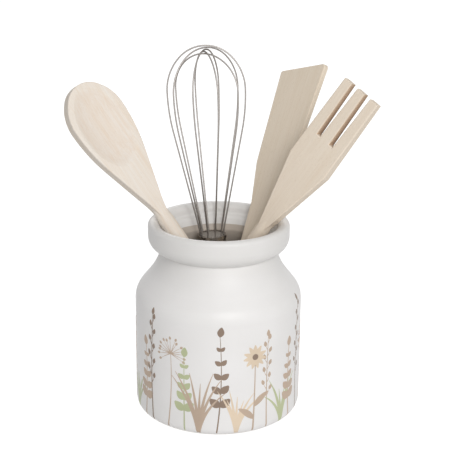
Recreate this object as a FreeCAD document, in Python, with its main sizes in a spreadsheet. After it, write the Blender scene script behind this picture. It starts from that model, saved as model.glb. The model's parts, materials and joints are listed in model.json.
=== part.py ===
"""Stoneware utensil crock with its four tools: a spoon, a spatula and a fork of pale wood and a wire whisk.

Millimetres, +Z up. The origin is the middle of the crock's foot, on the surface that it stands on.
Each tool is drawn upright in its own frame, with its own axis on Z and its face to -Y, and is then leant
in the crock until it lies against the mouth.
"""
import FreeCAD, Part
import math
import os

import Sketcher

doc = FreeCAD.newDocument("utensil_crock")
Vec = FreeCAD.Vector
UP = Vec(0, 0, 1)

# Driving sizes, in millimetres and degrees
SIZES = [
    # Crock
    ("body_radius", 64.0), ("wall", 4.5), ("floor_thickness", 8.0), ("base_round", 7.0),
    ("foot_ring_width", 7.0), ("foot_recess", 1.5), ("floor_round", 4.5), ("wall_height", 89.3),
    ("shoulder_round", 18.7), ("shoulder_slope", 38.3), ("shoulder_straight", 10.4),
    ("neck_round", 48.7), ("neck_slope", 13.0), ("rim_overhang", 9.7), ("rim_under_round", 11.1),
    ("rim_height", 21.8), ("lip_outer_round", 3.4), ("lip_inner_round", 6.0), ("funnel_slope", 19.0),
    ("bead_round", 4.0), ("seat_clearance", 0.3),
    # Wooden tools
    ("wood_edge_round", 0.9), ("handle_blend", 16.0), ("handle_tuck", 0.3),
    # Spoon
    ("spoon_handle_radius", 6.1), ("spoon_thickness", 9.6), ("spoon_half_width", 22.8),
    ("spoon_widest", 256.0), ("spoon_tip_round", 32.5), ("spoon_tip_turn", 45.0),
    ("spoon_side_round", 128.0), ("spoon_taper", 16.6), ("spoon_neck_round", 60.0),
    ("dish_margin", 3.2), ("dish_depth", 4.8), ("dish_below", 41.0), ("dish_above", 24.6),
    ("spoon_wall_gap", 0.8), ("spoon_foot_ahead", 29.1), ("spoon_rest_ahead", 18.0), ("spoon_turn", 36.0),
    # Spatula
    ("spatula_handle_radius", 5.0), ("spatula_thickness", 5.0), ("blade_half_width", 20.8),
    ("blade_root_half", 17.2), ("blade_root", 182.0), ("grip_half_width", 10.0), ("grip_top", 151.0),
    ("grip_root", 30.0), ("blade_short_side", 255.2), ("blade_slant", 14.0), ("blade_corner", 2.5),
    ("spatula_foot_left", 10.0), ("spatula_foot_ahead", 21.6), ("spatula_rest_behind", 7.6),
    ("spatula_turn", -48.0),
    # Fork
    ("fork_handle_radius", 5.8), ("fork_thickness", 9.4), ("fork_tip_thickness", 7.0),
    ("tine_pitch", 13.05), ("tine_tip_width", 7.7), ("tine_root_width", 9.7), ("slot_length", 45.0),
    ("fork_tip", 283.8), ("fork_head_length", 67.3), ("fork_root", 153.0),
    ("fork_wall_gap", 1.4), ("fork_foot_ahead", 2.0), ("fork_rest_ahead", 14.6), ("fork_turn", -36.0),
    # Whisk
    ("tube_radius", 10.8), ("tube_wall", 0.8), ("tube_length", 105.0), ("mouth_ring", 0.6),
    ("mouth_ring_height", 2.4), ("wire_diameter", 1.2), ("wire_fit", 0.05), ("wire_depth", 24.0),
    ("wire_bend", 30.0), ("balloon_radius", 29.8), ("balloon_widest", 114.0),
    ("balloon_side_round", 150.0), ("balloon_top", 34.0), ("balloon_top_turn", 45.0),
    ("wire_nesting", 1.55), ("wire_loops", 5), ("cap_thickness", 3.0), ("cap_lip", 1.2),
    ("loop_radius", 6.6), ("loop_wire_radius", 1.2), ("loop_leg", 6.0),
    ("whisk_foot_gap", 16.0), ("whisk_foot_left", 0.6), ("whisk_rest_left", 6.2),
]

sheet = doc.addObject("Spreadsheet::Sheet", "Sizes")
for row, (alias, value) in enumerate(SIZES, start=1):
    sheet.set("A%d" % row, alias)
    sheet.set("B%d" % row, str(value))
    sheet.setAlias("B%d" % row, alias)
doc.recompute()


def size(alias):
    """The sheet's value for one driving size."""
    return float(sheet.get(alias))


def angle(alias):
    """One of the sheet's angles, in radians."""
    return math.radians(size(alias))


# Sketch helpers

def new_body(label):
    body = doc.addObject("PartDesign::Body", label)
    body.Label = label
    return body


def new_sketch(body, role, name, offset=None):
    """An empty sketch on one of the body's own origin planes."""
    sketch = body.newObject("Sketcher::SketchObject", name)
    plane = next(item for item in body.Origin.OriginFeatures if item.Role == role)
    sketch.AttachmentSupport = [(plane, "")]
    sketch.MapMode = "FlatFace"
    if offset is not None:
        sketch.AttachmentOffset = FreeCAD.Placement(offset, FreeCAD.Rotation())
    return sketch


def line(a, b):
    return Part.LineSegment(Vec(a[0], a[1], 0), Vec(b[0], b[1], 0))


def arc(centre, radius, start, end):
    """An arc from the start angle to the end angle, in degrees, by the short way."""
    turn = sorted((math.radians(start), math.radians(end)))
    circle = Part.Circle(Vec(centre[0], centre[1], 0), UP, radius)
    return Part.ArcOfCircle(circle, turn[0], turn[1])


def draw(sketch, curves, closed=True):
    """Adds a chain of curves and joins each one's end to the next one's start."""
    ids = [sketch.addGeometry(curve, False) for curve in curves]
    pairs = list(zip(ids, ids[1:]))
    if closed:
        pairs.append((ids[-1], ids[0]))
    for first, second in pairs:
        meetings = [((sketch.getPoint(first, i) - sketch.getPoint(second, j)).Length, i, j)
                    for i in (1, 2) for j in (1, 2)]
        gap, end, start = min(meetings)
        sketch.addConstraint(Sketcher.Constraint("Coincident", first, end, second, start))
    return ids


def bind_radius(sketch, curve, formula):
    """Ties an arc's radius to the sheet."""
    radius = sketch.Geometry[curve].Radius
    index = sketch.addConstraint(Sketcher.Constraint("Radius", curve, radius))
    sketch.setExpression("Constraints[%d]" % index, formula)


def bind_place(sketch, kind, curve, end, formula):
    """Ties one coordinate of a curve's end, DistanceX or DistanceY, to the sheet."""
    point = sketch.getPoint(curve, end)
    value = point.x if kind == "DistanceX" else point.y
    index = sketch.addConstraint(Sketcher.Constraint(kind, -1, 1, curve, end, value))
    sketch.setExpression("Constraints[%d]" % index, formula)


def revolve(body, sketch, name):
    """A full turn of the sketch about its upright axis."""
    feature = body.newObject("PartDesign::Revolution", name)
    feature.Profile = sketch
    feature.ReferenceAxis = (sketch, ["V_Axis"])
    feature.Angle = 360.0
    doc.recompute()
    return feature


def plank(body, sketch, name, thickness):
    """A board of the sketch's outline, half its thickness on each side of the sketch."""
    pad = body.newObject("PartDesign::Pad", name)
    pad.Profile = sketch
    pad.SideType = "Symmetric"
    pad.setExpression("Length", thickness)
    doc.recompute()
    return pad


def face_edges(shape, least_area):
    """Names of the edges round a board's two broad faces, without those of its hidden root."""
    names = []
    root = shape.BoundBox.ZMin + size("handle_tuck")
    for face in shape.Faces:
        if face.Area < least_area or abs(face.normalAt(0, 0).y) < 0.9:
            continue
        for edge in face.Edges:
            for number, other in enumerate(shape.Edges, start=1):
                if edge.isSame(other) and edge.BoundBox.ZMax > root:
                    names.append("Edge%d" % number)
    return sorted(set(names))


def soften(body, feature, name, least_area):
    """Rounds the edges of a board's broad faces."""
    fillet = body.newObject("PartDesign::Fillet", name)
    fillet.Base = (feature, face_edges(feature.Shape, least_area))
    fillet.setExpression("Radius", "Sizes.wood_edge_round")
    doc.recompute()
    return fillet


def root_width(prefix):
    """Half the width of a board where it starts, with its corners just inside the round handle."""
    half_board = size(prefix + "_thickness") / 2
    return math.sqrt(size(prefix + "_handle_radius") ** 2 - half_board ** 2) - size("handle_tuck")


def turned_handle(body, prefix, top, board_half):
    """A round handle with a domed end at the origin, drawn down into the board above it."""
    radius = size(prefix + "_handle_radius")
    tip = min(board_half - size("handle_tuck"), radius - size("handle_tuck"))
    sketch = new_sketch(body, "XZ_Plane", prefix + "_handle_profile")
    end = top + size("handle_blend")
    ids = draw(sketch, [
        line((0, -radius), (0, end)), line((0, end), (tip, end)), line((tip, end), (radius, top)),
        line((radius, top), (radius, 0)), arc((0, 0), radius, -90, 0)])
    bind_radius(sketch, ids[4], "Sizes.%s_handle_radius" % prefix)
    return revolve(body, sketch, prefix + "_handle_turning")


# Crock: one revolved wall, from the foot up the outside, over the rim and down the inside

body_radius = size("body_radius")
wall = size("wall")
slope = angle("shoulder_slope")
slope_deg = size("shoulder_slope")
floor_top = size("floor_thickness")
inner_radius = body_radius - wall
out = Vec(math.cos(slope), math.sin(slope), 0)
along = Vec(-math.sin(slope), math.cos(slope), 0)

shoulder_centre = Vec(body_radius - size("shoulder_round"), size("wall_height"), 0)
slope_foot = shoulder_centre + out * size("shoulder_round")
slope_head = slope_foot + along * size("shoulder_straight")
neck_centre = slope_head + out * size("neck_round")
neck_dir = Vec(math.cos(angle("neck_slope")), math.sin(angle("neck_slope")), 0)
notch = neck_centre - neck_dir * size("neck_round")

rim_radius = notch.x + size("rim_overhang")
under = size("rim_under_round")
under_rise = math.sqrt(under ** 2 - (under - size("rim_overhang")) ** 2)
under_centre = Vec(rim_radius - under, notch.y + under_rise, 0)
under_start = math.degrees(math.atan2(notch.y - under_centre.y, notch.x - under_centre.x))
crock_height = notch.y + size("rim_height")
crest = rim_radius - size("lip_outer_round")
lip_outer = Vec(crest, crock_height - size("lip_outer_round"), 0)
lip_inner = Vec(crest, crock_height - size("lip_inner_round"), 0)

funnel = angle("funnel_slope")
funnel_normal = Vec(-math.cos(funnel), math.sin(funnel), 0)
funnel_down = Vec(-math.sin(funnel), -math.cos(funnel), 0)
funnel_top = lip_inner + funnel_normal * size("lip_inner_round")
inner_neck = size("neck_round") + wall
bead = size("bead_round")
start = funnel_top - funnel_normal * bead - neck_centre
run = start.dot(funnel_down)
drop = -run + math.sqrt(run ** 2 - start.dot(start) + (inner_neck - bead) ** 2)
bead_centre = funnel_top - funnel_normal * bead + funnel_down * drop
bead_top = bead_centre + funnel_normal * bead
bead_dir = (bead_centre - neck_centre).normalize()
bead_foot = neck_centre + bead_dir * inner_neck
bead_deg = math.degrees(math.atan2(bead_dir.y, bead_dir.x)) % 360
inner_head = slope_head - out * wall
inner_foot = slope_foot - out * wall

base = size("base_round")
ring_inside = body_radius - base - size("foot_ring_width")
recess = size("foot_recess")
floor_round = size("floor_round")


def flat(point):
    return (point.x, point.y)


crock = new_body("crock")
profile = new_sketch(crock, "XZ_Plane", "crock_profile")
outline = draw(profile, [
    line((0, floor_top), (0, recess)),
    line((0, recess), (ring_inside, recess)),
    line((ring_inside, recess), (ring_inside + recess, 0)),
    line((ring_inside + recess, 0), (body_radius - base, 0)),
    arc((body_radius - base, base), base, -90, 0),
    line((body_radius, base), (body_radius, size("wall_height"))),
    arc(flat(shoulder_centre), size("shoulder_round"), 0, slope_deg),
    line(flat(slope_foot), flat(slope_head)),
    arc(flat(neck_centre), size("neck_round"), 180 + size("neck_slope"), 180 + slope_deg),
    arc(flat(under_centre), under, under_start, 0),
    line((rim_radius, under_centre.y), (rim_radius, lip_outer.y)),
    arc(flat(lip_outer), size("lip_outer_round"), 0, 90),
    arc(flat(lip_inner), size("lip_inner_round"), 90, 180 - size("funnel_slope")),
    line(flat(funnel_top), flat(bead_top)),
    arc(flat(bead_centre), bead, 180 - size("funnel_slope"), bead_deg),
    arc(flat(neck_centre), inner_neck, bead_deg, 180 + slope_deg),
    line(flat(inner_head), flat(inner_foot)),
    arc(flat(shoulder_centre), size("shoulder_round") - wall, 0, slope_deg),
    line((inner_radius, size("wall_height")), (inner_radius, floor_top + floor_round)),
    arc((inner_radius - floor_round, floor_top + floor_round), floor_round, -90, 0),
    line((inner_radius - floor_round, floor_top), (0, floor_top))])
bind_place(profile, "DistanceX", outline[5], 1, "Sizes.body_radius")
bind_place(profile, "DistanceY", outline[5], 2, "Sizes.wall_height")
bind_place(profile, "DistanceY", outline[0], 1, "Sizes.floor_thickness")
for curve, alias in ((4, "base_round"), (6, "shoulder_round"), (8, "neck_round"), (9, "rim_under_round"),
                     (11, "lip_outer_round"), (12, "lip_inner_round"), (14, "bead_round"),
                     (19, "floor_round")):
    bind_radius(profile, outline[curve], "Sizes." + alias)
bind_radius(profile, outline[15], "Sizes.neck_round + Sizes.wall")
revolve(crock, profile, "crock_wall")


# How a tool leans: its foot stands on the floor, and it tips over until one of its rails, straight lines of
# the tool given as (from, to, radius) in its own frame, lies the seat clearance from the mouth

MOUTH = [(lip_inner, size("lip_inner_round")), (bead_centre, bead)]
SEAT_STEPS = 48


def tool_frame(foot, top, turn):
    """A rotation with Z from foot to top and the face to the front, turned about the tool's own axis."""
    axis = (top - foot).normalize()
    front = Vec(0, -1, 0)
    front = (front - axis * front.dot(axis)).normalize()
    across = axis.cross(front)
    square = FreeCAD.Rotation(across, front * -1, axis, "ZXY")
    return square.multiply(FreeCAD.Rotation(UP, turn))


def handle_rail(radius, top):
    """The axis of a tool's round handle."""
    return (Vec(0, 0, 0), Vec(0, 0, top), radius)


def edge_rails(low, high, half_board):
    """The four long edges of a board between two places (half width, height) along it."""
    return [(Vec(side * low[0], face, low[1]), Vec(side * high[0], face, high[1]), 0.0)
            for side in (-1, 1) for face in (-half_board, half_board)]


def mouth_gap(place, rails):
    """Least distance from a tool's rails to the rounded rings of the mouth."""
    gaps = []
    for foot, head, radius in rails:
        rail = Part.makeLine(place.multVec(foot), place.multVec(head))
        for centre, round_radius in MOUTH:
            ring = Part.Circle(Vec(0, 0, centre.y), UP, centre.x).toShape()
            gaps.append(rail.distToShape(ring)[0] - round_radius - radius)
    return min(gaps)


def lean(foot, way, rest, turn, rails):
    """The placement of a tool that tips over from the rest, at the lip's height, until it meets the mouth."""
    low, high = 0.0, crest
    for step in range(SEAT_STEPS):
        middle = (low + high) / 2
        place = FreeCAD.Placement(foot, tool_frame(foot, rest + way * middle, turn))
        if mouth_gap(place, rails) > size("seat_clearance"):
            low = middle
        else:
            high = middle
    return place


def floor_spot(x, y, foot_height):
    """Where a tool's foot stands in the crock."""
    return Vec(x, y, floor_top + size("seat_clearance") + foot_height)


# The whisk stands against the back of the mouth, and the wooden tools cross in front of it
# Its frame starts at the middle of the hanging loop's bend. Each wire leaves the mouth on an outward bend, runs
# straight to the balloon's side and closes over the top

LIFT_REACH = 2 * crock_height
loop_radius = size("loop_radius")
loop_wire = size("loop_wire_radius")
cap_under = size("loop_leg")
tube_foot = cap_under + size("cap_thickness")
mouth = tube_foot + size("tube_length")
tube_radius = size("tube_radius")
bore = tube_radius - size("tube_wall")
wire_radius = size("wire_diameter") / 2
wire_circle = bore - size("wire_fit") - wire_radius
plug_radius = wire_circle - wire_radius - size("wire_fit")
ring_radius = tube_radius + size("mouth_ring")
loops = int(size("wire_loops"))
bend = size("wire_bend")
side_arc = size("balloon_side_round")
half = size("balloon_radius")
high = mouth + size("balloon_widest")
between = Vec(half - side_arc - wire_circle - bend, high - mouth, 0)
wire_slope = math.atan2(between.x, between.y) + math.asin((bend + side_arc) / between.Length)
wire_slope_deg = math.degrees(wire_slope)
bend_head = (wire_circle + bend * (1 - math.cos(wire_slope)), mouth + bend * math.sin(wire_slope))
run_top = (half - side_arc * (1 - math.cos(wire_slope)), high - side_arc * math.sin(wire_slope))


def wire_rails():
    """The lower runs of all the wires' legs, from the tube's mouth to the balloon's side."""
    rails = []
    for leg in range(2 * loops):
        turn = FreeCAD.Rotation(UP, 180.0 * leg / loops)
        places = [turn.multVec(Vec(x, 0, z)) for x, z in ((wire_circle, mouth), bend_head, run_top, (half, high))]
        rails += [(foot, head, wire_radius) for foot, head in zip(places, places[1:])]
    return rails


whisk_foot = floor_spot(-size("whisk_foot_left"), bead_centre.x - bead - size("whisk_foot_gap"),
                        loop_radius + loop_wire)
whisk_place = lean(whisk_foot, Vec(0, 1, 0), Vec(-size("whisk_rest_left"), 0, lip_inner.y), 0.0,
                   [handle_rail(ring_radius, LIFT_REACH)] + wire_rails())
whisk_axis = whisk_place.Rotation.multVec(UP)
whisk_front = whisk_foot.y + whisk_axis.y * (lip_inner.y - whisk_foot.z) / whisk_axis.z - ring_radius


# Spoon: a board with a rounded bowl end, a shallow dish in its face and a turned handle

spoon_half = size("spoon_half_width")
widest = size("spoon_widest")
taper = angle("spoon_taper")
taper_deg = size("spoon_taper")
side_round = size("spoon_side_round")
neck_round = size("spoon_neck_round")
neck_half = root_width("spoon")
tip_turn = angle("spoon_tip_turn")
tip_round = size("spoon_tip_round")

side_foot = (spoon_half - side_round * (1 - math.cos(taper)), widest - side_round * math.sin(taper))
neck_head_x = neck_half + neck_round * (1 - math.cos(taper))
neck_head = (neck_head_x, side_foot[1] - (side_foot[0] - neck_head_x) / math.tan(taper))
neck_foot = neck_head[1] - neck_round * math.sin(taper)
tip_side = (spoon_half - tip_round * (1 - math.cos(tip_turn)), widest + tip_round * math.sin(tip_turn))
cap_round = tip_side[0] / math.cos(tip_turn)
cap_centre = tip_side[1] - cap_round * math.sin(tip_turn)


def mirrored(curves):
    """The same curves on the other side of the tool's axis, in reverse order."""
    turned = []
    for curve in reversed(curves):
        if isinstance(curve, Part.ArcOfCircle):
            span = [180 - math.degrees(end) for end in (curve.LastParameter, curve.FirstParameter)]
            turned.append(arc((-curve.Center.x, curve.Center.y), curve.Radius, *span))
        else:
            ends = [(-end.x, end.y) for end in (curve.EndPoint, curve.StartPoint)]
            turned.append(line(*ends))
    return turned


spoon = new_body("wooden_spoon")
spoon_outline = new_sketch(spoon, "XZ_Plane", "spoon_outline")
right_side = [
    arc((neck_half + neck_round, neck_foot), neck_round, 180 - taper_deg, 180),
    line(neck_head, side_foot),
    arc((spoon_half - side_round, widest), side_round, -taper_deg, 0),
    arc((spoon_half - tip_round, widest), tip_round, 0, size("spoon_tip_turn"))]
tip_deg = size("spoon_tip_turn")
ids = draw(spoon_outline, right_side + [arc((0, cap_centre), cap_round, tip_deg, 180 - tip_deg)]
           + mirrored(right_side) + [line((-neck_half, neck_foot), (neck_half, neck_foot))])
for curve, alias in ((0, "spoon_neck_round"), (2, "spoon_side_round"), (3, "spoon_tip_round")):
    bind_radius(spoon_outline, ids[curve], "Sizes." + alias)
board = plank(spoon, spoon_outline, "spoon_board", "Sizes.spoon_thickness")
soften(spoon, board, "spoon_edges", spoon_half ** 2)

dish_half = spoon_half - size("dish_margin")
dish_depth = size("dish_depth")
dish_axis = (dish_half ** 2 - dish_depth ** 2) / (2 * dish_depth)
face = -size("spoon_thickness") / 2
dish_chord = (size("dish_below") + size("dish_above")) / 2
dish_middle = widest + (size("dish_above") - size("dish_below")) / 2
dish_round = (dish_chord ** 2 + dish_depth ** 2) / (2 * dish_depth)
dish_centre = face + dish_depth - dish_round
dish_end = face - dish_depth
dish_turn = math.acos((dish_end - dish_centre) / dish_round)
dish_turn_deg = math.degrees(dish_turn)
dish_low = dish_middle - dish_round * math.sin(dish_turn)
dish_high = dish_middle + dish_round * math.sin(dish_turn)
cutter_axis = face - dish_axis
dish = new_sketch(spoon, "YZ_Plane", "spoon_dish_profile")
draw(dish, [
    arc((dish_centre, dish_middle), dish_round, -dish_turn_deg, dish_turn_deg),
    line((dish_end, dish_high), (cutter_axis, dish_high)),
    line((cutter_axis, dish_high), (cutter_axis, dish_low)),
    line((cutter_axis, dish_low), (dish_end, dish_low))])
before = spoon.Shape.Volume
groove = spoon.newObject("PartDesign::Groove", "spoon_dish")
groove.Profile = dish
groove.ReferenceAxis = (dish, ["Edge3"])
groove.Angle = 360.0
doc.recompute()
if not spoon.Shape.Volume < before:
    raise RuntimeError("the spoon's dish cut nothing")
turned_handle(spoon, "spoon", neck_foot, size("spoon_thickness") / 2)
spoon_radius = size("spoon_handle_radius")
spoon_foot_y = whisk_front - size("spoon_foot_ahead")
spoon_foot_x = math.sqrt((inner_radius - spoon_radius - size("spoon_wall_gap")) ** 2 - spoon_foot_y ** 2)
spoon.Placement = lean(floor_spot(spoon_foot_x, spoon_foot_y, spoon_radius), Vec(-1, 0, 0),
                       Vec(0, whisk_front - size("spoon_rest_ahead"), lip_inner.y), size("spoon_turn"),
                       [handle_rail(spoon_radius, neck_head[1])])


# Spatula: a thin board that widens from the handle to a slanted end

blade_half = size("blade_half_width")
short_side = size("blade_short_side")
long_side = short_side + size("blade_slant")
grip_half = size("grip_half_width")
spatula_radius = size("spatula_handle_radius")
stem_half = root_width("spatula")
left = [(-stem_half, size("grip_root")), (-grip_half, size("grip_top")),
        (-size("blade_root_half"), size("blade_root")), (-blade_half, short_side)]
right = [(blade_half, long_side)] + [(-x, z) for x, z in reversed(left[:-1])]
corners = left + right

spatula = new_body("wooden_spatula")
spatula_outline = new_sketch(spatula, "XZ_Plane", "spatula_outline")
draw(spatula_outline, [line(a, b) for a, b in zip(corners, corners[1:] + corners[:1])])
board = plank(spatula, spatula_outline, "spatula_board", "Sizes.spatula_thickness")
blade_corners = []
for number, edge in enumerate(board.Shape.Edges, start=1):
    middle = edge.CenterOfMass
    if abs(edge.tangentAt(edge.FirstParameter).y) > 0.9 and middle.z > size("blade_root"):
        blade_corners.append("Edge%d" % number)
blade_ends = spatula.newObject("PartDesign::Fillet", "blade_corners")
blade_ends.Base = (board, blade_corners)
blade_ends.setExpression("Radius", "Sizes.blade_corner")
doc.recompute()
soften(spatula, blade_ends, "spatula_edges", blade_half ** 2)
turned_handle(spatula, "spatula", size("grip_root"), size("spatula_thickness") / 2)
grip_rails = edge_rails((stem_half, size("grip_root")), (grip_half, size("grip_top")),
                        size("spatula_thickness") / 2)
spatula_foot = floor_spot(-size("spatula_foot_left"), whisk_front - size("spatula_foot_ahead"), spatula_radius)
spatula.Placement = lean(spatula_foot, Vec(1, 0, 0),
                         Vec(0, whisk_front + size("spatula_rest_behind"), lip_inner.y), size("spatula_turn"),
                         [handle_rail(spatula_radius, LIFT_REACH)] + grip_rails)


# Fork: a board that flares to three tines, narrowed and thinned towards their tips, on a turned handle

pitch = size("tine_pitch")
tip_half, tine_half = size("tine_tip_width") / 2, size("tine_root_width") / 2
fork_half = pitch + tine_half
fork_tip = size("fork_tip")
slot_floor = fork_tip - size("slot_length")
fork_shoulder = fork_tip - size("fork_head_length")
fork_radius = size("fork_handle_radius")
root_half = root_width("fork")
slot_side = [(tip_half, fork_tip), (tine_half, slot_floor), (pitch - tine_half, slot_floor),
             (pitch - tip_half, fork_tip)]
half_outline = slot_side + [(pitch + tip_half, fork_tip), (fork_half, fork_shoulder), (root_half, size("fork_root"))]
corners = half_outline + [(-x, z) for x, z in reversed(half_outline)]

fork = new_body("wooden_fork")
fork_outline = new_sketch(fork, "XZ_Plane", "fork_outline")
draw(fork_outline, [line(a, b) for a, b in zip(corners, corners[1:] + corners[:1])])
board = plank(fork, fork_outline, "fork_board", "Sizes.fork_thickness")
thick, thin = size("fork_thickness") / 2, size("fork_tip_thickness") / 2
thinning = new_sketch(fork, "YZ_Plane", "tine_thinning")
for side in (-1, 1):
    wedge = [(side * thick, fork_shoulder), (side * thick, fork_tip + pitch),
             (side * thin, fork_tip + pitch), (side * thin, fork_tip)]
    draw(thinning, [line(a, b) for a, b in zip(wedge, wedge[1:] + wedge[:1])])
before = fork.Shape.Volume
planing = fork.newObject("PartDesign::Pocket", "tine_taper")
planing.Profile = thinning
planing.Type = "ThroughAll"
planing.SideType = "Symmetric"
doc.recompute()
if not fork.Shape.Volume < before:
    raise RuntimeError("the fork's tines were not thinned")
soften(fork, planing, "fork_edges", pitch ** 2)
turned_handle(fork, "fork", size("fork_root"), thick)
flare_rails = edge_rails((root_half, size("fork_root")), (fork_half, fork_shoulder), thick)
fork_foot_y = whisk_front - size("fork_foot_ahead")
fork_foot_x = math.sqrt((inner_radius - fork_radius - size("fork_wall_gap")) ** 2 - fork_foot_y ** 2)
fork.Placement = lean(floor_spot(-fork_foot_x, fork_foot_y, fork_radius), Vec(1, 0, 0),
                      Vec(0, whisk_front - size("fork_rest_ahead"), lip_inner.y), size("fork_turn"),
                      [handle_rail(fork_radius, LIFT_REACH)] + flare_rails)


# Whisk: a steel tube with an end cap and a hanging loop, and wire loops held in its mouth by a plug

handle = new_body("whisk_handle")
tube = new_sketch(handle, "XZ_Plane", "tube_profile")
ring_foot = mouth - size("mouth_ring_height")
tube_points = [(bore, tube_foot), (tube_radius, tube_foot), (tube_radius, ring_foot), (ring_radius, ring_foot),
               (ring_radius, mouth), (bore, mouth)]
ids = draw(tube, [line(a, b) for a, b in zip(tube_points, tube_points[1:] + tube_points[:1])])
bind_place(tube, "DistanceX", ids[1], 1, "Sizes.tube_radius")
revolve(handle, tube, "tube_wall_turning")

plug = new_body("whisk_wire_plug")
plug_profile = new_sketch(plug, "XZ_Plane", "plug_profile")
plug_foot = mouth - size("wire_depth")
plug_points = [(0, plug_foot), (plug_radius, plug_foot), (plug_radius, mouth), (0, mouth)]
draw(plug_profile, [line(a, b) for a, b in zip(plug_points, plug_points[1:] + plug_points[:1])])
revolve(plug, plug_profile, "plug_turning")

cap = new_body("whisk_end_cap")
cap_profile = new_sketch(cap, "XZ_Plane", "cap_profile")
spigot = bore - size("wire_fit")
cap_points = [(0, cap_under), (tube_radius, cap_under), (tube_radius, tube_foot), (spigot, tube_foot),
              (spigot, tube_foot + size("cap_lip")), (0, tube_foot + size("cap_lip"))]
draw(cap_profile, [line(a, b) for a, b in zip(cap_points, cap_points[1:] + cap_points[:1])])
cap_turning = revolve(cap, cap_profile, "cap_turning")
holes = new_sketch(cap, "XY_Plane", "loop_holes")
for side in (-1, 1):
    hole = holes.addGeometry(Part.Circle(Vec(side * loop_radius, 0, 0), UP, loop_wire + size("wire_fit")), False)
    bind_radius(holes, hole, "Sizes.loop_wire_radius + Sizes.wire_fit")
before = cap.Shape.Volume
drilling = cap.newObject("PartDesign::Pocket", "loop_hole_drilling")
drilling.Profile = holes
drilling.Type = "ThroughAll"
drilling.SideType = "Symmetric"
doc.recompute()
if not cap.Shape.Volume < before:
    raise RuntimeError("the end cap's holes cut nothing")


def bent_wire(label, curves, start_point, radius_formula):
    """A round wire swept along a chain of straight runs and tangent arcs in the XZ plane."""
    body = new_body(label)
    path = new_sketch(body, "XZ_Plane", label + "_path")
    draw(path, curves, closed=False)
    section = new_sketch(body, "XY_Plane", label + "_section", Vec(start_point[0], 0, start_point[1]))
    circle = section.addGeometry(Part.Circle(Vec(0, 0, 0), UP, wire_radius), False)
    section.addConstraint(Sketcher.Constraint("Coincident", circle, 3, -1, 1))
    bind_radius(section, circle, radius_formula)
    doc.recompute()
    pipe = body.newObject("PartDesign::AdditivePipe", label + "_sweep")
    pipe.Profile = section
    pipe.Spine = (path, ["Edge%d" % (number + 1) for number in range(len(curves))])
    doc.recompute()
    return body


leg_top = tube_foot + size("cap_lip")
hang_loop = bent_wire("whisk_hang_loop", [
    line((loop_radius, leg_top), (loop_radius, 0)), arc((0, 0), loop_radius, -180, 0),
    line((-loop_radius, 0), (-loop_radius, leg_top))], (loop_radius, leg_top), "Sizes.loop_wire_radius")

# The loops are alike up to the widest place, and each next loop crosses the axis lower than the one before
top_turn = angle("balloon_top_turn")
top_deg = size("balloon_top_turn")
top_share = (1 - math.sin(top_turn)) / math.cos(top_turn)
whisk_nodes = [handle, plug, cap, hang_loop]
for number in range(loops):
    rise = size("balloon_top") - number * size("wire_nesting")
    top_arc = (rise - half * top_share) / (math.sin(top_turn) - (1 - math.cos(top_turn)) * top_share)
    top_side = (half - top_arc * (1 - math.cos(top_turn)), high + top_arc * math.sin(top_turn))
    apex_round = top_side[0] / math.cos(top_turn)
    apex_centre = top_side[1] - apex_round * math.sin(top_turn)
    rising = [
        line((wire_circle, plug_foot), (wire_circle, mouth)),
        arc((wire_circle + bend, mouth), bend, 180 - wire_slope_deg, 180),
        line(bend_head, run_top),
        arc((half - side_arc, high), side_arc, -wire_slope_deg, 0),
        arc((half - top_arc, high), top_arc, 0, top_deg)]
    wire = bent_wire("whisk_wire_%d" % (number + 1),
                     rising + [arc((0, apex_centre), apex_round, top_deg, 180 - top_deg)] + mirrored(rising),
                     (wire_circle, plug_foot), "Sizes.wire_diameter / 2")
    wire_turn = FreeCAD.Rotation(UP, 180.0 * number / loops)
    wire.Placement = whisk_place.multiply(FreeCAD.Placement(Vec(0, 0, 0), wire_turn))
    whisk_nodes.append(wire)
for node in whisk_nodes[:4]:
    node.Placement = whisk_place


# Checks and files

doc.recompute()
nodes = [crock, spoon, spatula, fork] + whisk_nodes
for item in doc.Objects:
    if "Invalid" in item.State or "Error" in item.State:
        raise RuntimeError("%s did not build: %s" % (item.Label, item.State))
for node in nodes:
    if node.Shape.isNull() or not node.Shape.isValid() or len(node.Shape.Solids) != 1:
        raise RuntimeError("%s is not one sound solid" % node.Label)
os.makedirs("parts", exist_ok=True)
for node in nodes:
    node.Shape.exportStep("parts/%s.step" % node.Label)
    print("%-16s %10.1f mm3" % (node.Label, node.Shape.Volume))
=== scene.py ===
import json
import math
import random

import bmesh
import bpy
from mathutils import Matrix, Quaternion, Vector


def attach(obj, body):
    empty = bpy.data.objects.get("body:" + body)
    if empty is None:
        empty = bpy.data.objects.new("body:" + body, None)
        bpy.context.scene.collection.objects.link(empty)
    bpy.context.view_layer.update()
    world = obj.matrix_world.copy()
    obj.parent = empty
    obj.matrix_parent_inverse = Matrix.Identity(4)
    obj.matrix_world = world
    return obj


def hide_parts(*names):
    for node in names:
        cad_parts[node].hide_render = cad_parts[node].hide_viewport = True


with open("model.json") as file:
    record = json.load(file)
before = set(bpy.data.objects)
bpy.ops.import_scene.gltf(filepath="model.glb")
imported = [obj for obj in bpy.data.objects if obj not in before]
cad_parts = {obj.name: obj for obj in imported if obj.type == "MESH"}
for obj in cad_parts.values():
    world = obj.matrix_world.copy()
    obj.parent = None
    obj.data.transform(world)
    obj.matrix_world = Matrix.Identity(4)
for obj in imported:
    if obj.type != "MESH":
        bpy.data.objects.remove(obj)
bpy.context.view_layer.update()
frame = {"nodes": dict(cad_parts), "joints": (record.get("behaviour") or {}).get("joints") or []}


# Crock: one thrown and fired piece of white stoneware, with a sloped shoulder and a rolled collar rim.
# It is dipped in a satin white glaze, whose white is painted a little darker over the upper shoulder,
# collar and mouth as painted shade; inside, the walls and floor are painted warm grey as painted shade.
# Only the foot ring is wiped bare before firing.

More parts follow.
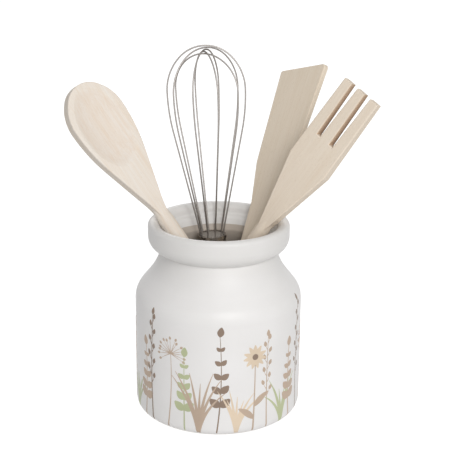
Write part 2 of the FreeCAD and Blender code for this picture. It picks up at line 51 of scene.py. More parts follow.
MM = 0.001
TURNS = 144
CREASE = math.radians(50)
BODY_RADIUS = 64.0
WALL = 4.5
WALL_HEIGHTS = range(12, 89, 7)
FOOT_RECESS = 1.5
FOOT_RING = [(51.0, 0.4), (51.6, 0), (56.5, 0)]
BASE_ROUND = 7.0
SHOULDER_FOOT = 89.3
SHOULDER_ROUND = 18.7
SHOULDER_SLOPE = 38.3
SHOULDER_AXIS = (BODY_RADIUS - SHOULDER_ROUND, SHOULDER_FOOT)
SLOPE_OUTSIDE = (56.75, 104.97)
SLOPE_INSIDE = (53.2, 102.2)
NECK_ROUND = 48.7
NECK_AXIS = (91.748, 139.235)
COLLAR_ROUND = 11.1
COLLAR_AXIS = (42.896, 139.291)
COLLAR_TOP = (53.996, 143.0)
RIM_ROUND = 3.4
RIM_AXIS = (50.596, 146.68)
RIM_FALL = 6.0
RIM_FALL_AXIS = (50.596, 144.08)
MOUTH_TOP = (44.923, 146.033)
MOUTH_FOOT = (39.717, 130.912)
LEDGES = (142.6, 139.4)
LEDGE_HALF = 0.7
LEDGE_DEPTH = 0.5
LIP_ROUND = 4.0
LIP_AXIS = (43.499, 129.61)
FLOOR_TOP = 8.0
FLOOR_ROUND = 4.5
# Heights between which the inside is painted warm grey as painted shade.
INSIDE_SHADE_FOOT = 5.0
INSIDE_SHADE_TOP = 134.4


def arc_run(profile, centre, radius, start, end, steps):
    """Carries a (radius, height) profile along an arc between two angles in degrees."""
    for step in range(steps + 1):
        turn = math.radians(start + (end - start) * step / steps)
        profile.append((centre[0] + radius * math.cos(turn), centre[1] + radius * math.sin(turn)))


def soft_step(value, middle, half):
    """Goes smoothly from 0 to 1 as the value falls past the middle."""
    share = min(1.0, max(0.0, (middle + half - value) / (2 * half)))
    return share * share * (3 - 2 * share)


def funnel_run(profile, steps):
    """Carries the profile down the mouth's funnel, over soft throwing ledges that fade at both ends."""
    top, foot = Vector(MOUTH_TOP), Vector(MOUTH_FOOT)
    down = (foot - top).normalized()
    inward = Vector((down.y, -down.x))
    for step in range(1, steps):
        share = step / steps
        point = top.lerp(foot, share)
        swell = sum(soft_step(point.y, ledge, LEDGE_HALF) for ledge in LEDGES) - len(LEDGES) / 2
        fade = min(1.0, 4 * share, 3 * (1 - share))
        profile.append(tuple(point + inward * swell * LEDGE_DEPTH * fade))


def as_object(name, bm):
    """A linked, smooth-shaded mesh object, with creases where faces meet at a sharp angle."""
    mesh = bpy.data.meshes.new(name)
    bm.to_mesh(mesh)
    bm.free()
    mesh.polygons.foreach_set("use_smooth", [True] * len(mesh.polygons))
    mesh.set_sharp_from_angle(angle=CREASE)
    piece = bpy.data.objects.new(name, mesh)
    bpy.context.scene.collection.objects.link(piece)
    return piece


def spun(name, profile, turns):
    """A closed body of revolution about Z from a (radius, height) profile in millimetres."""
    bm = bmesh.new()
    verts = [bm.verts.new((radius * MM, 0, height * MM)) for radius, height in profile]
    edges = [bm.edges.new(pair) for pair in zip(verts, verts[1:])]
    bmesh.ops.spin(bm, geom=verts + edges, cent=(0, 0, 0), axis=(0, 0, 1), angle=math.tau,
                   steps=turns, use_merge=True)
    bmesh.ops.remove_doubles(bm, verts=bm.verts[:], dist=1e-6)
    bmesh.ops.recalc_face_normals(bm, faces=bm.faces[:])
    return as_object(name, bm)


# The outside, from the middle of the foot up to the rim.
crock_profile = [(0, FOOT_RECESS), (25, FOOT_RECESS), (50, FOOT_RECESS), *FOOT_RING]
arc_run(crock_profile, (BODY_RADIUS - BASE_ROUND, BASE_ROUND), BASE_ROUND, -88, 0, 12)
crock_profile.extend((BODY_RADIUS, height) for height in WALL_HEIGHTS)
arc_run(crock_profile, SHOULDER_AXIS, SHOULDER_ROUND, 0, SHOULDER_SLOPE, 14)
crock_profile.append(SLOPE_OUTSIDE)
arc_run(crock_profile, NECK_AXIS, NECK_ROUND, 180 + SHOULDER_SLOPE, 194.2, 16)
arc_run(crock_profile, COLLAR_AXIS, COLLAR_ROUND, -76, 0, 14)
crock_profile.append(COLLAR_TOP)
arc_run(crock_profile, RIM_AXIS, RIM_ROUND, 0, 90, 10)

# The inside, from the rim down to the middle of the floor.
arc_run(crock_profile, RIM_FALL_AXIS, RIM_FALL, 98, 161, 10)
funnel_run(crock_profile, 26)
arc_run(crock_profile, LIP_AXIS, LIP_ROUND, 161, 191.28, 6)
arc_run(crock_profile, NECK_AXIS, NECK_ROUND + WALL, 192.5, 180 + SHOULDER_SLOPE, 14)
crock_profile.append(SLOPE_INSIDE)
arc_run(crock_profile, SHOULDER_AXIS, SHOULDER_ROUND - WALL, SHOULDER_SLOPE, 0, 8)
crock_profile.extend([(BODY_RADIUS - WALL, 62), (BODY_RADIUS - WALL, 36)])
arc_run(crock_profile, (BODY_RADIUS - WALL - FLOOR_ROUND, FLOOR_TOP + FLOOR_ROUND), FLOOR_ROUND, 0, -90, 6)
crock_profile.extend([(28, FLOOR_TOP), (0, FLOOR_TOP)])
crock = spun("stoneware_crock", crock_profile, TURNS)
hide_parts("crock")
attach(crock, "crock")


def srgb(red, green, blue):
    """A colour given as it looks on screen, 0 to 255, as the linear colour that a shader takes."""
    linear = []
    for channel in (red / 255, green / 255, blue / 255):
        linear.append(channel / 12.92 if channel <= 0.04045 else ((channel + 0.055) / 1.055) ** 2.4)
    return (*linear, 1.0)


def new_material(name):
    """A material with a bare Principled shader; returns it, its node tree and the shader."""
    material = bpy.data.materials.new(name)
    material.use_nodes = True
    tree = material.node_tree
    return material, tree, tree.nodes["Principled BSDF"]


def add(tree, kind, inputs=None, **settings):
    """A node with its settings and its unlinked input values."""
    node = tree.nodes.new(kind)
    for name, value in settings.items():
        setattr(node, name, value)
    for name, value in (inputs or {}).items():
        node.inputs[name].default_value = value
    return node


def ramp(tree, value, stops):
    """The colour that a value picks from (position, colour) stops."""
    node = add(tree, "ShaderNodeValToRGB")
    elements = node.color_ramp.elements
    while len(elements) < len(stops):
        elements.new(1.0)
    for element, (position, colour) in zip(elements, stops):
        element.position = position
        element.color = colour
    tree.links.new(value, node.inputs["Fac"])
    return node.outputs["Color"]


def within(tree, value, low, high):
    """A soft mask from 0 to 1 as a value goes from low to high; low may be the greater."""
    mask = add(tree, "ShaderNodeMapRange", {"From Min": low, "From Max": high})
    tree.links.new(value, mask.inputs["Value"])
    return mask.outputs["Result"]


def laid_over(tree, mask, below, above):
    """One colour over another where the mask is set."""
    mix = add(tree, "ShaderNodeMix", data_type="RGBA")
    for value, name in ((mask, "Factor"), (below, "A"), (above, "B")):
        tree.links.new(value, mix.inputs[name])
    return mix.outputs["Result"]


def split_xyz(tree, vector):
    """The X, Y and Z outputs of a vector."""
    split = add(tree, "ShaderNodeSeparateXYZ")
    tree.links.new(vector, split.inputs[0])
    return split.outputs


def surface_group(name, inputs, outputs):
    """A shader node group with its named sockets; returns it with its start and end nodes."""
    group = bpy.data.node_groups.new(name, "ShaderNodeTree")
    for way, sockets in (("INPUT", inputs), ("OUTPUT", outputs)):
        for socket, kind in sockets:
            group.interface.new_socket(socket, in_out=way, socket_type=kind)
    return group, add(group, "NodeGroupInput"), add(group, "NodeGroupOutput")


VALUE_SOCKET = "NodeSocketFloat"
VECTOR_SOCKET = "NodeSocketVector"
GLAZE_GLOSS = 0.42
GLAZE_SPECULAR = 0.38
GLOSS_SPREAD = 0.05
PEEL_SHARE = 0.18


def glaze_surface():
    """A node group for fired glaze: slow pooling, fine orange peel and a slight change of gloss."""
    group, start, end = surface_group(
        "fired glaze", (("Vector", VECTOR_SOCKET), ("Gloss", VALUE_SOCKET)),
        (("Pooling", VALUE_SOCKET), ("Roughness", VALUE_SOCKET), ("Height", VALUE_SOCKET)))
    pools = add(group, "ShaderNodeTexNoise", {"Scale": 28.0, "Detail": 3.0, "Roughness": 0.5})
    peel = add(group, "ShaderNodeTexNoise", {"Scale": 520.0, "Detail": 2.0, "Roughness": 0.45})
    spread = add(group, "ShaderNodeMapRange", {"From Min": 0.3, "From Max": 0.7, "To Min": -GLOSS_SPREAD,
                                               "To Max": GLOSS_SPREAD})
    gloss = add(group, "ShaderNodeMath", operation="ADD")
    weigh = add(group, "ShaderNodeMath", {1: PEEL_SHARE}, operation="MULTIPLY")
    height = add(group, "ShaderNodeMath", operation="ADD")
    link = group.links.new
    link(start.outputs["Vector"], pools.inputs["Vector"])
    link(start.outputs["Vector"], peel.inputs["Vector"])
    link(pools.outputs["Fac"], spread.inputs["Value"])
    link(start.outputs["Gloss"], gloss.inputs[0])
    link(spread.outputs["Result"], gloss.inputs[1])
    link(peel.outputs["Fac"], weigh.inputs[0])
    link(pools.outputs["Fac"], height.inputs[0])
    link(weigh.outputs[0], height.inputs[1])
    link(pools.outputs["Fac"], end.inputs["Pooling"])
    link(gloss.outputs[0], end.inputs["Roughness"])
    link(height.outputs[0], end.inputs["Height"])
    return group


fired_glaze = glaze_surface()


def glazed(name):
    """A material with a fired glaze on object coordinates; its colour and gloss are still to be linked."""
    material, tree, shader = new_material(name)
    shader.inputs["Specular IOR Level"].default_value = GLAZE_SPECULAR
    place = add(tree, "ShaderNodeTexCoord").outputs["Object"]
    fired = add(tree, "ShaderNodeGroup", node_tree=fired_glaze)
    fired.inputs["Gloss"].default_value = GLAZE_GLOSS
    tree.links.new(place, fired.inputs["Vector"])
    return material, tree, shader, place, fired.outputs


def fired_material(name, low, high):
    """A plain fired colour under the glaze, from where the glaze lies lean to where it has pooled."""
    material, tree, shader, place, fired = glazed(name)
    tone = ramp(tree, fired["Pooling"], [(0.34, low), (0.66, high)])
    tree.links.new(tone, shader.inputs["Base Color"])
    tree.links.new(fired["Roughness"], shader.inputs["Roughness"])
    return material


BARE_CLAY_TOP = 0.0006
GLAZE_EDGE = 0.0018
# Heights where the painted shade over the upper shoulder, collar and mouth begins and where it is full.
COLLAR_SHADE_FOOT = 0.107
COLLAR_SHADE_TOP = 0.122
BARE_CLAY_ROUGHNESS = 0.85

glaze, tree, shader, place, fired = glazed("satin white glaze")
height = split_xyz(tree, place)["Z"]
bare = within(tree, height, GLAZE_EDGE, BARE_CLAY_TOP)
# Painted shade: above the shoulder the glaze's white fades to a slightly darker white, standing in for the
# shade under and over the collar.
collar_shade = within(tree, height, COLLAR_SHADE_FOOT, COLLAR_SHADE_TOP)
clay = add(tree, "ShaderNodeTexNoise", {"Scale": 900.0, "Detail": 4.0})
clay_tone = ramp(tree, clay.outputs["Fac"], [(0.35, srgb(196, 180, 156)), (0.65, srgb(216, 203, 182))])
white = ramp(tree, fired["Pooling"], [(0.3, srgb(238, 236, 234)), (0.7, srgb(242, 240, 239))])
shaded_white = ramp(tree, fired["Pooling"], [(0.3, srgb(228, 226, 223)), (0.7, srgb(232, 230, 228))])
tone = laid_over(tree, bare, laid_over(tree, collar_shade, white, shaded_white), clay_tone)
dry = add(tree, "ShaderNodeMix", {"B": BARE_CLAY_ROUGHNESS})
bump = add(tree, "ShaderNodeBump", {"Strength": 0.25, "Distance": 0.0006})
link = tree.links.new
link(place, clay.inputs["Vector"])
link(bare, dry.inputs["Factor"])
link(fired["Roughness"], dry.inputs["A"])
link(fired["Height"], bump.inputs["Height"])
link(tone, shader.inputs["Base Color"])
link(dry.outputs["Result"], shader.inputs["Roughness"])
link(bump.outputs["Normal"], shader.inputs["Normal"])
crock.data.materials.append(glaze)

# Painted shade: the inner walls and floor, from 5 mm up to just under the mouth's funnel, take a warm grey
# in place of the white glaze.
inside_shade = fired_material("warm grey painted inside shade", srgb(190, 179, 167), srgb(198, 188, 177))
crock.data.materials.append(inside_shade)
for face in crock.data.polygons:
    outward = face.normal.dot((face.center.x, face.center.y, 0))
    if outward <= 1e-6 and INSIDE_SHADE_FOOT * MM < face.center.z < INSIDE_SHADE_TOP * MM:
        face.material_index = 1


# Printed band: a transfer of plain meadow plants in four soft inks, laid round the lower wall and fired
# into the glaze. Neighbouring plants lie on films of their own, and a daisy's petals and eye on films above
# its stem, so one shape lies over another in the order of printing.

BAND_FOOT = 3.2
BAND_PLANTS = 30
INK_FILM = 0.022
INK_DEPTH = 0.3
INK_CUTS = (*range(4, 9), *range(90, 100))
BROWN, TAN, BEIGE, GREEN = range(4)
INKS = (("brown ink", (142, 123, 108)), ("tan ink", (190, 169, 150)), ("beige ink", (224, 205, 181)),
        ("green ink", (184, 190, 152)))
POOLED_LIFT = 1.06
STEM_HALF = 0.55
TWIG_HALF = 0.3
STEM_TAPER = 0.65
LEAF_STEPS = 7
LEAF_SWELL = [max(0.1, math.sin(math.pi * (0.06 + 0.88 * (step / LEAF_STEPS) ** 0.85)))
              for step in range(LEAF_STEPS + 1)]


def stem_line(foot, heading, length, bend, steps):
    """Points of a stem that sets out at the heading, in degrees from upright, and turns by the bend."""
    points = [Vector(foot)]
    for step in range(steps):
        turn = math.radians(heading + bend * (step + 0.5) / steps)
        points.append(points[-1] + Vector((math.sin(turn), math.cos(turn))) * length / steps)
    return points


def strip(bm, points, half_widths, film, ink):
    """A flat stroke of one ink through the points; its film number sets how high it lies on the glaze."""
    rails = []
    for index, point in enumerate(points):
        ahead = points[min(index + 1, len(points) - 1)] - points[max(index - 1, 0)]
        side = Vector((ahead.y, -ahead.x)).normalized() * half_widths[index]
        rails.append([bm.verts.new((*(point + way * side), film * INK_FILM)) for way in (-1, 0, 1)])
    for near, far in zip(rails, rails[1:]):
        for left in (0, 1):
            face = bm.faces.new((near[left], near[left + 1], far[left + 1], far[left]))
            face.material_index = ink


def stalk(bm, line, half_width, film, ink):
    """A stem that thins out towards its tip."""
    last = len(line) - 1
    strip(bm, line, [half_width * (1 - STEM_TAPER * index / last) for index in range(last + 1)], film, ink)


def leaf(bm, base, heading, length, half_width, bend, film, ink):
    """A leaf or petal that swells from its base and closes to a soft tip."""
    line = stem_line(base, heading, length, bend, LEAF_STEPS)
    strip(bm, line, [half_width * share for share in LEAF_SWELL], film, ink)


def round_leaf_stem(bm, foot, height, lean, film, ink, chance):
    """A stem with pairs of round leaves that get smaller upwards."""
    steps = 14
    line = stem_line(foot, lean, height, -1.6 * lean, steps)
    stalk(bm, line, STEM_HALF, film, ink)
    for index in range(4, steps, 2):
        big = 1.0 - 0.055 * index
        for side in (-1, 1):
            leaf(bm, line[index], side * chance.uniform(48, 66), length=12.4 * big, half_width=4.3 * big,
                 bend=side * -14, film=film, ink=ink)
    leaf(bm, line[-1], chance.uniform(-14, 14), length=7.6, half_width=2.6, bend=0, film=film, ink=ink)


def grass_tuft(bm, foot, height, lean, film, ink, chance):
    """Long blades that fan out from one place."""
    steps = 12
    half_widths = [1.3 * (1 - (index / steps) ** 1.6) + 0.1 for index in range(steps + 1)]
    for blade in range(7):
        fan = -27 + 9 * blade + chance.uniform(-3, 3)
        line = stem_line(foot, 0.35 * fan, height * chance.uniform(0.6, 1.0), 1.5 * fan + lean, steps)
        strip(bm, line, half_widths, film, ink)


def daisy(bm, foot, height, lean, film, ink, chance):
    """A stem with two low leaves and an open flower of long petals round a dark middle."""
    line = stem_line(foot, lean, height, -1.2 * lean, 12)
    stalk(bm, line, half_width=0.65, film=film, ink=TAN)
    for side, index in ((-1, 2), (1, 4)):
        leaf(bm, line[index], side * 38, length=15.5, half_width=2.5, bend=side * 26, film=film, ink=TAN)
    petals = 11
    for petal in range(petals):
        heading = 360 * petal / petals + chance.uniform(-5, 5)
        leaf(bm, line[-1], heading, length=9.4, half_width=1.8, bend=0, film=film + 1, ink=ink)
    eye = Matrix.Translation((*line[-1], (film + 2) * INK_FILM))
    disc = bmesh.ops.create_circle(bm, cap_ends=True, segments=16, radius=2.4, matrix=eye)
    disc["verts"][0].link_faces[0].material_index = BROWN


def bud_stalk(bm, foot, height, lean, film, ink, chance):
    """A bare stem with small closed buds on short twigs."""
    steps = 14
    line = stem_line(foot, lean, height, -2.2 * lean, steps)
    stalk(bm, line, STEM_HALF, film, ink)
    for index in range(5, steps):
        side = 1 if index % 2 else -1
        twig = stem_line(line[index], side * 42, 6.2 - 0.25 * index, -side * 22, 4)
        stalk(bm, twig, TWIG_HALF, film, ink)
        leaf(bm, twig[-1], side * chance.uniform(6, 26), length=4.4, half_width=1.4, bend=0, film=film,
             ink=ink)
    leaf(bm, line[-1], 0, length=5.2, half_width=1.5, bend=0, film=film, ink=ink)


def seed_head(bm, foot, height, lean, film, ink, chance):
    """A bare stem that opens into a round head of fine spokes with a seed at the end of each."""
    line = stem_line(foot, lean, height, -1.4 * lean, 12)
    stalk(bm, line, STEM_HALF, film, ink)
    for spoke in range(15):
        heading = -112 + 16 * spoke + chance.uniform(-4, 4)
        ray = stem_line(line[-1], heading, 11.0 * chance.uniform(0.8, 1.05), 0.12 * heading, 4)
        stalk(bm, ray, TWIG_HALF, film, ink)
        leaf(bm, ray[-1], heading, length=2.6, half_width=1.0, bend=0, film=film, ink=ink)


def wall_radius(height):
    """The crock's outer radius, from the round above its foot to the start of its shoulder."""
    drop = max(0.0, BASE_ROUND - height)
    rise = max(0.0, height - SHOULDER_FOOT)
    foot_round = math.sqrt(BASE_ROUND ** 2 - drop ** 2) - BASE_ROUND
    return BODY_RADIUS + foot_round + math.sqrt(SHOULDER_ROUND ** 2 - rise ** 2) - SHOULDER_ROUND


PLANTS = ((round_leaf_stem, BROWN, 80), (grass_tuft, BEIGE, 50), (daisy, BEIGE, 62), (bud_stalk, TAN, 72),
          (grass_tuft, GREEN, 44), (round_leaf_stem, TAN, 60), (bud_stalk, BROWN, 86), (seed_head, TAN, 58),
          (round_leaf_stem, GREEN, 66), (grass_tuft, TAN, 54))
chance = random.Random(11)
bm = bmesh.new()
for number in range(BAND_PLANTS):
    plant, ink, usual_height = PLANTS[number % len(PLANTS)]
    along = math.tau * BODY_RADIUS * (number + chance.uniform(-0.2, 0.2)) / BAND_PLANTS
    height = usual_height * chance.uniform(0.88, 1.06)
    lean = chance.uniform(-9, 9)
    film = 2 + 3 * (number % 3)
    plant(bm, (along, BAND_FOOT), height, lean, film, ink, chance)
# The flat print is cut across where the wall curves, given its thickness and wrapped round the crock.
for height in INK_CUTS:
    bmesh.ops.bisect_plane(bm, geom=bm.verts[:] + bm.edges[:] + bm.faces[:], dist=1e-4,
                           plane_co=(0, height, 0), plane_no=(0, 1, 0))
bm.normal_update()
bmesh.ops.reverse_faces(bm, faces=[face for face in bm.faces if face.normal.z < 0])
bmesh.ops.solidify(bm, geom=bm.faces[:], thickness=INK_DEPTH)
for vert in bm.verts:
    along, height, film = vert.co
    turn = along / BODY_RADIUS
    radius = (wall_radius(height) + film) * MM
    vert.co = (radius * math.sin(turn), -radius * math.cos(turn), height * MM)
band = as_object("printed_band", bm)
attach(band, "crock")
for name, colour in INKS:
    pooled = tuple(min(255, POOLED_LIFT * channel) for channel in colour)
    band.data.materials.append(fired_material(name, srgb(*colour), srgb(*pooled)))


# Wooden tools: three pieces of pale beech, sawn from board along the grain, sanded and left without oil.
# The spoon's dish is scooped out across the fibres, and the fork's two slots are sawn and left rough.

COLOUR_SOCKET = "NodeSocketColor"


def beech_grain():
    """A node group for sanded beech: broad rings, fine lines and short dark rays, all along local Z."""
    group, start, end = surface_group(
        "beech grain", (("Vector", VECTOR_SOCKET), ("Early Wood", COLOUR_SOCKET),
                        ("Late Wood", COLOUR_SOCKET), ("Ray", COLOUR_SOCKET)),
        (("Color", COLOUR_SOCKET), ("Roughness", VALUE_SOCKET), ("Height", VALUE_SOCKET)))
    link = group.links.new
    layers = {}
    for name, stretch, scale, detail in (("rings", 0.05, 210.0, 3.0), ("lines", 0.03, 1100.0, 4.0),
                                         ("rays", 0.22, 1900.0, 1.0)):
        long = add(group, "ShaderNodeVectorMath", {1: (1, 1, stretch)}, operation="MULTIPLY")
        noise = add(group, "ShaderNodeTexNoise", {"Scale": scale, "Detail": detail, "Roughness": 0.55})
        link(start.outputs["Vector"], long.inputs[0])
        link(long.outputs[0], noise.inputs["Vector"])
        layers[name] = noise.outputs["Fac"]
    rings = add(group, "ShaderNodeMapRange", {"From Min": 0.35, "From Max": 0.68, "To Max": 0.55})
    lines = add(group, "ShaderNodeMapRange", {"From Min": 0.4, "From Max": 0.72, "To Max": 0.45})
    rays = add(group, "ShaderNodeMapRange", {"From Min": 0.62, "From Max": 0.72, "To Max": 0.3})
    rough = add(group, "ShaderNodeMapRange", {"From Min": 0.3, "From Max": 0.7, "To Min": 0.62,
                                              "To Max": 0.74})
    both = add(group, "ShaderNodeMath", operation="ADD")
    lower = add(group, "ShaderNodeMath", operation="SUBTRACT")
    link(layers["rings"], rings.inputs["Value"])
    link(layers["lines"], lines.inputs["Value"])
    link(layers["rays"], rays.inputs["Value"])
    link(layers["lines"], rough.inputs["Value"])
    link(rings.outputs["Result"], both.inputs[0])
    link(lines.outputs["Result"], both.inputs[1])
    link(layers["lines"], lower.inputs[0])
    link(rays.outputs["Result"], lower.inputs[1])
    body = laid_over(group, both.outputs[0], start.outputs["Early Wood"], start.outputs["Late Wood"])
    flecked = laid_over(group, rays.outputs["Result"], body, start.outputs["Ray"])
    link(flecked, end.inputs["Color"])
    link(rough.outputs["Result"], end.inputs["Roughness"])
    link(lower.outputs[0], end.inputs["Height"])
    return group


WOOD_SPECULAR = 0.3
grain = beech_grain()
tool_axis = {joint["child"]: Vector(joint["axis"]) for joint in frame["joints"]}


def tool_frame(tool, turn):
    """Turns object coordinates so that X is across a tool, Y points to its back and Z up its axis; also
    gives the middle of its sides and its tip there."""
    axis = tool_axis[tool]
    front = Vector((0, -1, 0))
    front = (front - front.dot(axis) * axis).normalized()
    front.rotate(Quaternion(axis, math.radians(turn)))
    rows = Matrix((axis.cross(front), -front, axis))
    corners = [rows @ vert.co for vert in frame["nodes"]["wooden_" + tool].data.vertices]
    across, deep, up = [sorted(corner[way] for corner in corners) for way in range(3)]
    return rows, Vector(((across[0] + across[-1]) / 2, (deep[0] + deep[-1]) / 2, up[-1]))


def wood_material(tool, turn, early, late, ray, worked):
    """Beech with the grain along one tool's own axis; the worked function may change its colour there."""
    material, tree, shader = new_material(tool + " beech")
    rows, middle = tool_frame(tool, turn)
    turned = rows.to_euler()
    coords = add(tree, "ShaderNodeTexCoord")
    place = add(tree, "ShaderNodeMapping", {"Rotation": turned, "Location": -middle})
    facing = add(tree, "ShaderNodeMapping", {"Rotation": turned}, vector_type="VECTOR")
    wood = add(tree, "ShaderNodeGroup", node_tree=grain)
    for name, colour in (("Early Wood", early), ("Late Wood", late), ("Ray", ray)):
        wood.inputs[name].default_value = srgb(*colour)
    bump = add(tree, "ShaderNodeBump", {"Strength": 0.35, "Distance": 0.0002})
    link = tree.links.new
    link(coords.outputs["Object"], place.inputs["Vector"])
    link(coords.outputs["Normal"], facing.inputs["Vector"])
    link(place.outputs["Vector"], wood.inputs["Vector"])
    colour = worked(tree, place.outputs["Vector"], facing.outputs["Vector"], wood.outputs["Color"])
    link(colour, shader.inputs["Base Color"])
    link(wood.outputs["Roughness"], shader.inputs["Roughness"])
    link(wood.outputs["Height"], bump.inputs["Height"])
    link(bump.outputs["Normal"], shader.inputs["Normal"])
    shader.inputs["Specular IOR Level"].default_value = WOOD_SPECULAR
    return material


def reckon(tree, operation, *values):
    """The result of one Math node on the values."""
    node = add(tree, "ShaderNodeMath", operation=operation)
    for socket, value in zip(node.inputs, values):
        tree.links.new(value, socket)
    return node.outputs[0]


def plain_wood(tree, place, facing, colour):
    """Leaves the wood as it is."""
    return colour


DISH_EDGE, DISH_FLOOR = -0.0046, -0.0036
DISH_SIDE, DISH_FRONT = -0.8, -0.88
# The greying of the dish is partly end-grain tone and partly painted shade.
DISH_GREY_AND_SHADE = (252, 250, 249)


def dish_grain_and_shade(tree, place, facing, colour):
    """The spoon's dish: cut across the fibres; where its scooped floor faces forward it is a little greyer
    than the face round it, partly end-grain tone and partly painted shade.
    """
    shaded_hollow = within(tree, split_xyz(tree, place)["Y"], DISH_EDGE, DISH_FLOOR)
    ahead = within(tree, split_xyz(tree, facing)["Y"], DISH_SIDE, DISH_FRONT)
    grey = add(tree, "ShaderNodeMix", {"Factor": 1.0, "B": srgb(*DISH_GREY_AND_SHADE)}, data_type="RGBA",
               blend_type="MULTIPLY")
    tree.links.new(colour, grey.inputs["A"])
    return laid_over(tree, reckon(tree, "MULTIPLY", shaded_hollow, ahead), colour, grey.outputs["Result"])


SLOTS_OUTSIDE, SLOTS_INSIDE = 0.0118, 0.0112
SLOTS_BELOW, SLOTS_FOOT = -0.0465, -0.0455
WALL_SLANT, WALL_SQUARE = 0.45, 0.8
FORK_FRONT, FORK_BACK = -0.0042, 0.0042
# Brown tones of the slot walls from front to back: partly sawn wood, partly painted shade deepening towards
# the back.
SAWN_AND_SHADE_TONES = ((0.0, (224, 203, 180)), (0.5, (196, 168, 140)), (1.0, (150, 122, 97)))


def sawn_slots(tree, place, facing, colour):
    """The fork's slots: their sawn walls are painted brown, partly the raw sawn wood and partly painted
    shade that grows darker towards the back.
    """
    spot = split_xyz(tree, place)
    inner = within(tree, reckon(tree, "ABSOLUTE", spot["X"]), SLOTS_OUTSIDE, SLOTS_INSIDE)
    between = within(tree, spot["Z"], SLOTS_BELOW, SLOTS_FOOT)
    sideways = reckon(tree, "ABSOLUTE", split_xyz(tree, facing)["X"])
    walls = within(tree, sideways, WALL_SLANT, WALL_SQUARE)
    shade_toward_back = within(tree, spot["Y"], FORK_FRONT, FORK_BACK)
    sawn_and_shaded = ramp(tree, shade_toward_back, [(position, srgb(*tone)) for position, tone in SAWN_AND_SHADE_TONES])
    mask = reckon(tree, "MULTIPLY", reckon(tree, "MULTIPLY", inner, between), walls)
    return laid_over(tree, mask, colour, sawn_and_shaded)


def dress(node, material):
    """Puts a material on a CAD node in place of its plain one."""
    mesh = frame["nodes"][node].data
    mesh.materials.clear()
    mesh.materials.append(material)


for tool, turn, early, late, ray, worked in (
        ("spoon", 36, (240, 233, 224), (233, 217, 198), (219, 204, 187), dish_grain_and_shade),
        ("spatula", -48, (239, 226, 208), (231, 215, 193), (211, 191, 167), plain_wood),
        ("fork", -36, (239, 226, 209), (232, 216, 196), (212, 192, 168), sawn_slots)):
    dress("wooden_" + tool, wood_material(tool, turn, early, late, ray, worked))


# Whisk: a satin steel tube closed by a cap with a hanging loop, and bright wire loops cast into its mouth.
# The wires are drawn stainless steel, so their fine scratches run along them.

def steel_material(name, tint, edge, roughness, scratch):
    """Stainless steel with lengthwise drawing marks, tinted darker where it is seen at a slant."""
    material, tree, shader = new_material(name)
    coords = add(tree, "ShaderNodeTexCoord")
    along = add(tree, "ShaderNodeMapping", {"Scale": (1, 1, 0.02)})
    marks = add(tree, "ShaderNodeTexNoise", {"Scale": 2600.0, "Detail": 3.0})
    satin = add(tree, "ShaderNodeMapRange", {"From Min": 0.35, "From Max": 0.65,
                                             "To Min": roughness - scratch, "To Max": roughness + scratch})
    dull = (*(0.9 * channel for channel in tint[:3]), 1.0)
    tone = ramp(tree, marks.outputs["Fac"], [(0.3, dull), (0.7, tint)])
    link = tree.links.new
    link(coords.outputs["Object"], along.inputs["Vector"])
    link(along.outputs["Vector"], marks.inputs["Vector"])
    link(marks.outputs["Fac"], satin.inputs["Value"])
    link(tone, shader.inputs["Base Color"])
    link(satin.outputs["Result"], shader.inputs["Roughness"])
    shader.inputs["Specular Tint"].default_value = edge
    shader.inputs["Metallic"].default_value = 1.0
    return material


wire_steel = steel_material("bright whisk wire", srgb(168, 163, 159), srgb(74, 70, 66), 0.46, 0.05)
handle_steel = steel_material("satin whisk handle", srgb(186, 180, 174), srgb(150, 144, 136), 0.3, 0.08)
for node in ("whisk_wire_1", "whisk_wire_2", "whisk_wire_3", "whisk_wire_4", "whisk_wire_5",
             "whisk_hang_loop"):
    dress(node, wire_steel)
for node in ("whisk_handle", "whisk_end_cap"):
    dress(node, handle_steel)

resin, tree, shader = new_material("grey casting resin")
coords = add(tree, "ShaderNodeTexCoord")
grit = add(tree, "ShaderNodeTexNoise", {"Scale": 1500.0, "Detail": 3.0})
grey = ramp(tree, grit.outputs["Fac"], [(0.35, srgb(140, 133, 125)), (0.65, srgb(160, 153, 145))])
pits = add(tree, "ShaderNodeBump", {"Strength": 0.4, "Distance": 0.0002})
link = tree.links.new
link(coords.outputs["Object"], grit.inputs["Vector"])
link(grit.outputs["Fac"], pits.inputs["Height"])
link(grey, shader.inputs["Base Color"])
link(pits.outputs["Normal"], shader.inputs["Normal"])
shader.inputs["Roughness"].default_value = 0.7
dress("whisk_wire_plug", resin)


# Studio: a white floor under the crock and a white background behind it, a large soft box to the right of
# the camera and a weaker one behind the crock, and the camera itself, a little above the rim.

scene = bpy.context.scene
scene.view_settings.view_transform = "Standard"
SWEEP_HALF = 4.0
SWEEP_DROP = 0.0001
SWEEP_TONE = 0.36
SWEEP_SHOWN = 0.92
SWEEP_LIGHT = 0.3
ROOM_LIGHT = 0.375


def shown_rays(tree):
    """Set for the rays that show the background itself: from the camera, off a gloss or through a glass."""
    path = add(tree, "ShaderNodeLightPath").outputs
    seen = reckon(tree, "MAXIMUM", path["Is Camera Ray"], path["Is Glossy Ray"])
    return reckon(tree, "MAXIMUM", seen, path["Is Transmission Ray"])


def pick_shown(tree, lighting, shown):
    """One shader for the light in the room, and another for what the background shows."""
    pick = add(tree, "ShaderNodeMixShader")
    for socket, value in zip(pick.inputs, (shown_rays(tree), lighting.outputs[0], shown.outputs[0])):
        tree.links.new(value, socket)
    return pick.outputs[0]


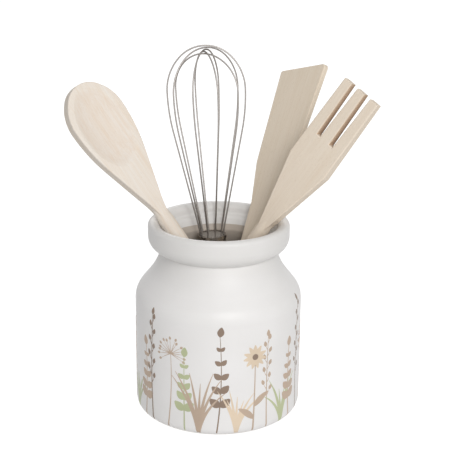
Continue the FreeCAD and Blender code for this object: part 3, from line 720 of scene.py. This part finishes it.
bm = bmesh.new()
bmesh.ops.create_grid(bm, x_segments=1, y_segments=1, size=SWEEP_HALF)
bmesh.ops.translate(bm, verts=bm.verts[:], vec=(0, 0, -SWEEP_DROP))
floor = as_object("studio_floor", bm)
sweep, tree, shader = new_material("white sweep")
shader.inputs["Base Color"].default_value = (SWEEP_TONE, SWEEP_TONE, SWEEP_TONE, 1)
shader.inputs["Roughness"].default_value = 0.9
shader.inputs["Specular IOR Level"].default_value = 0.0
glow = add(tree, "ShaderNodeEmission", {"Strength": SWEEP_SHOWN})
plain = add(tree, "ShaderNodeEmission", {"Strength": SWEEP_LIGHT})
both = add(tree, "ShaderNodeAddShader")
link = tree.links.new
link(shader.outputs[0], both.inputs[0])
link(pick_shown(tree, plain, glow), both.inputs[1])
link(both.outputs[0], tree.nodes["Material Output"].inputs["Surface"])
floor.data.materials.append(sweep)

world = bpy.data.worlds.new("studio")
scene.world = world
world.use_nodes = True
tree = world.node_tree
soft = tree.nodes["Background"]
soft.inputs["Color"].default_value = (1, 1, 1, 1)
soft.inputs["Strength"].default_value = ROOM_LIGHT
white_wall = add(tree, "ShaderNodeBackground", {"Strength": 1.0, "Color": (1, 1, 1, 1)})
tree.links.new(pick_shown(tree, soft, white_wall), tree.nodes["World Output"].inputs["Surface"])


def soft_lamp(name, azimuth, elevation, distance, width, power):
    """A square soft box that faces the middle of the crock and its tools."""
    lamp = bpy.data.lights.new(name, "AREA")
    lamp.shape = "SQUARE"
    lamp.size = width
    lamp.energy = power
    aim = Vector((0, 0, 0.13))
    turn, rise = math.radians(azimuth), math.radians(elevation)
    way = Vector((math.sin(turn) * math.cos(rise), -math.cos(turn) * math.cos(rise), math.sin(rise)))
    facing = way.to_track_quat("Z", "Y").to_matrix().to_4x4()
    box = bpy.data.objects.new(name, lamp)
    box.matrix_world = Matrix.Translation(aim + way * distance) @ facing
    scene.collection.objects.link(box)


soft_lamp("key_soft_box", azimuth=16, elevation=26, distance=1.7, width=0.9, power=16.3)
soft_lamp("back_soft_box", azimuth=188, elevation=32, distance=2.0, width=1.0, power=7.0)

CAMERA_PLACE = (0.00465, -0.8099, 0.4076)
CAMERA_TILT = math.radians(72.12)
CAMERA_ROLL = math.radians(0.53)
lens = bpy.data.cameras.new("camera")
lens.sensor_width = 36.0
lens.lens = 89.49
camera = bpy.data.objects.new("camera", lens)
camera.matrix_world = (Matrix.Translation(CAMERA_PLACE) @ Matrix.Rotation(CAMERA_TILT, 4, "X")
                       @ Matrix.Rotation(CAMERA_ROLL, 4, "Z"))
scene.collection.objects.link(camera)
scene.camera = camera
